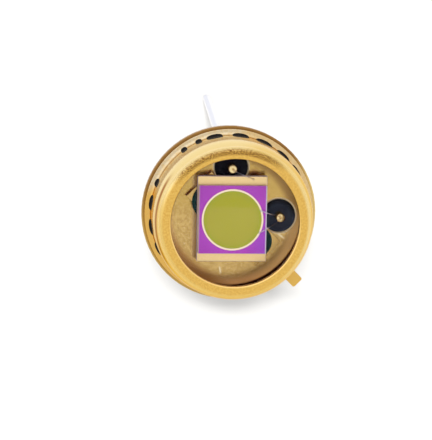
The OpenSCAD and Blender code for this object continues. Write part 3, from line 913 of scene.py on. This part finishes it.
# Lead: bevelled head, bare shaft, optional lean towards a turn about Z, and solder-dipped tail
def make_lead(node, head, lean, turn, material):
    total = head_z - lead_end_z
    lean_at = head_z + LEAN_START
    bend = LEAN_BEND_R * lean
    bare = head_z + BARE_L
    stops = [0, LEAD_BEVEL / 3, LEAD_BEVEL, lean_at]
    if lean:
        stops += [lean_at + bend * step / BEND_STEPS for step in range(1, BEND_STEPS + 1)]
    stops += [bare, bare + TIN_FADE_L / 2, bare + TIN_FADE_L]
    stops += [total - 2 * LEAD_BEVEL, total - LEAD_BEVEL / 2, total]
    path = []
    radii = []
    for at in stops:
        turned = min(max(at - lean_at, 0), bend) / LEAN_BEND_R
        past = max(at - lean_at - bend, 0)
        out = LEAN_BEND_R * (1 - math.cos(turned)) + past * math.sin(turned)
        down = min(at, lean_at) + LEAN_BEND_R * math.sin(turned) + past * math.cos(turned)
        path.append(head + Vector((out * math.cos(turn), out * math.sin(turn), -down)))
        tinned = min(max((at - bare) / TIN_FADE_L, 0), 1)
        radii.append(lead_r + TIN_T * tinned)
    radii[0] = lead_r - LEAD_BEVEL
    radii[1] = lead_r - LEAD_BEVEL / 3
    radii[-1] = lead_r + TIN_T - LEAD_BEVEL
    build = bmesh.new()
    add_tube(build, path, radii, LEAD_SIDES)
    lead = finish_mesh(node + "_wire", build, material)
    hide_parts(node)


# Bond wire: looped tube between two flattened bonds
def make_wire(node, start, end, material):
    path = []
    for step in range(ARC_STEPS + 1):
        share = step / ARC_STEPS
        path.append(start.lerp(end, share) + Vector((0, 0, BOND_H / 2 + LOOP_RISE * hump(share))))
    build = bmesh.new()
    add_tube(build, path, [WIRE_R] * len(path), WIRE_SIDES)
    for foot in (start, end):
        steps = [foot + Vector((0, 0, BOND_H * height)) for height, _ in BOND_OUTLINE]
        radii = [BOND_R * width for _, width in BOND_OUTLINE]
        add_tube(build, steps, radii, BOND_SIDES)
    wire = finish_mesh(node + "_loop", build, material, BOND_SHARP_ANGLE)
    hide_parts(node)


# Block with rounded edges that stands for a plain CAD plate
def make_plate(node, material):
    low, high = box_mm(node)
    build = bmesh.new()
    bmesh.ops.create_cube(build, size=1)
    bmesh.ops.scale(build, verts=build.verts, vec=high - low)
    bmesh.ops.bevel(build, geom=build.edges, offset=PLATE_EDGE_R, segments=PLATE_EDGE_STEPS,
                    affect="EDGES", profile=0.5)
    bmesh.ops.translate(build, verts=build.verts, vec=(low + high) / 2)
    plate = finish_mesh(node + "_block", build, material)
    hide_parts(node)


# Plain ink dashes low on the wall, with round ends: angle and length in degrees
DASHES = [
    (33, 12), (48, 12), (65, 13), (83, 12), (102, 12), (114, 5), (126, 5),
    (157, 6), (172, 11), (190, 12), (207, 11),
]
DASH_COLUMNS = 16
DASH_ROWS = 10
DASH_END_SHARE = 0.9
DASH_END_POWER = 4
INK_T = 0.004
INK_TOP_Z = 1.5
INK_FOOT_ANGLE = 245


def make_dashes(material):
    build = bmesh.new()
    fillet_top = brim_z + BRIM_FILLET_R
    fillet_r = BRIM_FILLET_R - INK_T
    rise = arc((cap_r + BRIM_FILLET_R, fillet_top), fillet_r, fillet_r, INK_FOOT_ANGLE, 180, DASH_ROWS)
    for step in range(1, DASH_ROWS + 1):
        rise.append((cap_r + INK_T, fillet_top + (INK_TOP_Z - fillet_top) * step / DASH_ROWS))
    for angle, length in DASHES:
        rows = []
        for i, (r, z) in enumerate(rise):
            inset = abs(2 * i / (len(rise) - 1) - 1)
            half = length / 2 * math.sqrt(1 - DASH_END_SHARE * inset ** DASH_END_POWER)
            row = []
            for step in range(DASH_COLUMNS + 1):
                at = math.radians(angle + half * (2 * step / DASH_COLUMNS - 1))
                row.append(build.verts.new((r * math.cos(at), r * math.sin(at), z)))
            rows.append(row)
        for low, high in zip(rows, rows[1:]):
            for i in range(DASH_COLUMNS):
                build.faces.new((low[i], low[i + 1], high[i + 1], high[i]))
    finish_mesh("ink_dashes", build, material)


# Pieces: better materials for the CAD nodes, and the smoother pieces that replace some of them
lead_surface = lead_metal()
wire_surface = bond_metal()
make_cap(gold_can().material)
dress("header", gold_header())
dress("window", window_glass())
dress("window_seal", solder_glass)
dress("submount_epoxy", adhesive)
dress("die_solder", solder)
dress("die", chip_face())
dress("active_area", sensing_face())
dress("submount_pad", gold_film("pad_film", *PAD_TONES))
dress("contact_ring", gold_film("ring_film", *CONTACT_TONES))
dress("pedestal", gold_block())
make_plate("submount", ceramic.material)
anode_glass = bead_glass("bead_glass_anode", BEAD_ANODE_TONES, BEAD_ANODE_GLOSS)
# Painted shade: the cathode bead takes darker tones of the same glass
shaded_cathode_glass = bead_glass("bead_glass_cathode", BEAD_CATHODE_SHADED_TONES, BEAD_CATHODE_GLOSS)
make_bead("bead_anode", (pin_r, 0, 0), anode_glass.material)
make_bead("bead_cathode", (0, pin_r, 0), shaded_cathode_glass.material)
lean_x, lean_y, lean_z = MOUNTS["lead_cathode_wire"]["axis"]
cathode_lean = math.atan2(math.hypot(lean_x, lean_y), -lean_z)
cathode_turn = math.atan2(lean_y, lean_x)
make_lead("lead_anode", anode_head, 0, 0, lead_surface.material)
make_lead("lead_cathode", cathode_head, cathode_lean, cathode_turn, lead_surface.material)
dress("lead_case", lead_surface)

# Bond wires, from the ring contact and the upper gold bar to the lead heads
upper_ring = at_angle(ring_centre, ring_mid_r, UPPER_RING_ANGLE)
lower_ring = at_angle(ring_centre, ring_mid_r, LOWER_RING_ANGLE)
upper_head = at_angle(anode_head, HEAD_BOND_R, UPPER_HEAD_ANGLE)
lower_head = at_angle(anode_head, HEAD_BOND_R, LOWER_HEAD_ANGLE)
top_head = at_angle(cathode_head, HEAD_BOND_R, CATHODE_HEAD_ANGLE)
make_wire("wire_anode_upper", upper_ring, upper_head, wire_surface.material)
make_wire("wire_anode_lower", lower_ring, lower_head, wire_surface.material)
make_wire("wire_cathode", bar_bond, top_head, wire_surface.material)
make_dashes(ink.material)


# White tent that is brighter on one side
def make_tent():
    scene = bpy.context.scene
    scene.view_settings.view_transform = "Standard"
    world = bpy.data.worlds.new("studio")
    scene.world = world
    world.use_nodes = True
    sky = world.node_tree
    place = sky.nodes.new("ShaderNodeTexCoord").outputs["Generated"]
    facing = sky.nodes.new("ShaderNodeVectorMath")
    facing.operation = "DOT_PRODUCT"
    facing.inputs[1].default_value = KEY_SIDE
    sky.links.new(place, facing.inputs[0])
    lobe = sky.nodes.new("ShaderNodeMapRange")
    lobe.interpolation_type = "SMOOTHSTEP"
    lobe.inputs["From Min"].default_value, lobe.inputs["From Max"].default_value = KEY_RANGE
    lobe.inputs["To Min"].default_value = TENT_LEVEL
    lobe.inputs["To Max"].default_value = KEY_LEVEL
    sky.links.new(facing.outputs["Value"], lobe.inputs["Value"])
    sky.links.new(lobe.outputs["Result"], sky.nodes["Background"].inputs["Strength"])
    sky.nodes["Background"].inputs["Color"].default_value = WHITE


# Pale floor at the lead tips, and the lamp that lights it alone, with its long side level in the picture
PAPER_CLOUD = (0.05, 2)
PAPER_TONES = (tone(195, 194, 192), tone(199, 198, 196))


def make_floor():
    paper = Surface("studio_floor", Roughness=0.9, Specular_IOR_Level=0.1)
    paper.paint("Base Color", paper.mix(paper.noise(*PAPER_CLOUD), *PAPER_TONES))
    mesh = bpy.data.meshes.new("floor")
    depth = (lead_end_z - FLOOR_GAP) * MM
    corners = [(FLOOR_REACH * x, FLOOR_REACH * y, depth) for x, y in ((-1, -1), (1, -1), (1, 1), (-1, 1))]
    mesh.from_pydata(corners, [], [(0, 1, 2, 3)])
    mesh.materials.append(paper.material)
    floor = bpy.data.objects.new("floor", mesh)
    bpy.context.scene.collection.objects.link(floor)
    return floor


def make_lamp(floor):
    data = bpy.data.lights.new("floor_lamp", "AREA")
    data.shape = "RECTANGLE"
    data.size, data.size_y = LAMP_SIZE
    data.energy = LAMP_POWER
    lamp = bpy.data.objects.new("floor_lamp", data)
    away = SHADOW_SIDE.normalized()
    level = Vector((0, 1, 0)).cross(away).normalized()
    lamp.matrix_world = Matrix((level, away.cross(level), away)).transposed().to_4x4()
    lamp.location = away * LAMP_DISTANCE
    bpy.context.scene.collection.objects.link(lamp)
    lit = bpy.data.collections.new("lit_by_floor_lamp")
    lit.objects.link(floor)
    lamp.light_linking.receiver_collection = lit


# Camera at the photograph's angle
def make_camera():
    aside = math.sin(VIEW_TILT)
    back = Vector((math.cos(VIEW_TURN) * aside, math.sin(VIEW_TURN) * aside, math.cos(VIEW_TILT)))
    upright = Vector((0, 1, 0)) - back * back.y
    upright.normalize()
    level = upright.cross(back)
    up = upright * math.cos(VIEW_ROLL) - level * math.sin(VIEW_ROLL)
    right = up.cross(back)
    aim = Vector((0, 0, AIM_HEIGHT)) + right * AIM_RIGHT + up * AIM_UP
    data = bpy.data.cameras.new("camera")
    data.sensor_width = SENSOR
    data.lens = FOCAL_PX * SENSOR / IMAGE_H
    data.clip_start = CLIP_START
    data.clip_end = CLIP_END
    camera = bpy.data.objects.new("camera", data)
    camera.matrix_world = Matrix((right, up, back)).transposed().to_4x4()
    camera.location = (aim + back * VIEW_DISTANCE) * MM
    bpy.context.scene.collection.objects.link(camera)
    bpy.context.scene.camera = camera


make_tent()
make_lamp(make_floor())
make_camera()
